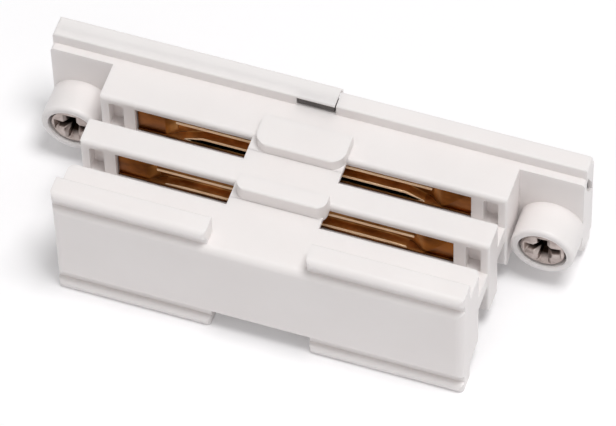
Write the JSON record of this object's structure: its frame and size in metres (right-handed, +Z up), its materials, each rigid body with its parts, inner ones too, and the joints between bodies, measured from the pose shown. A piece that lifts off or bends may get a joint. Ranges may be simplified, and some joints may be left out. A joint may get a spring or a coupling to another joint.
{
  "type": "in-line joiner for three-circuit lighting track",
  "caption": "White moulded in-line joiner for surface lighting track: a back plate with screw bosses, two contact ribs and a lipped front block on one web.",
  "frame": {"origin": "centre of the plane that the joiner rests on, at half its length and half its depth", "axes": "+X along the track, to the right end; -Y out of the track's mouth; +Z up from the side that it lies on"},
  "size_m": [0.0688, 0.0264, 0.0197],
  "materials": {
    "white_plastic": "fine satin moulded surface",
    "copper": "bright rolled copper strip",
    "plated_steel": "bright zinc plating",
    "earth_steel": "dull plated strip"
  },
  "bodies": {
    "joiner": {"housing": "white_plastic", "earth_strip": "earth_steel", "contact_upper_rear": "copper", "contact_upper_front": "copper", "contact_lower_rear": "copper", "contact_lower_front": "copper", "clip_upper_rear": "white_plastic", "clip_upper_front": "white_plastic", "clip_lower_rear": "white_plastic", "clip_lower_front": "white_plastic", "nut_left": "plated_steel", "nut_right": "plated_steel"},
    "screw_left": {"screw_left": "plated_steel"},
    "screw_right": {"screw_right": "plated_steel"}
  },
  "joints": [
    {"name": "screw_left_turn", "type": "hinge", "parent": "joiner", "child": "screw_left", "pos_m": [-0.03035, 0.00475, 0.0074], "axis": [0, 1, 0], "continuous": true},
    {"name": "screw_right_turn", "type": "hinge", "parent": "joiner", "child": "screw_right", "pos_m": [0.03035, 0.00475, 0.0074], "axis": [0, 1, 0], "continuous": true}
  ]
}
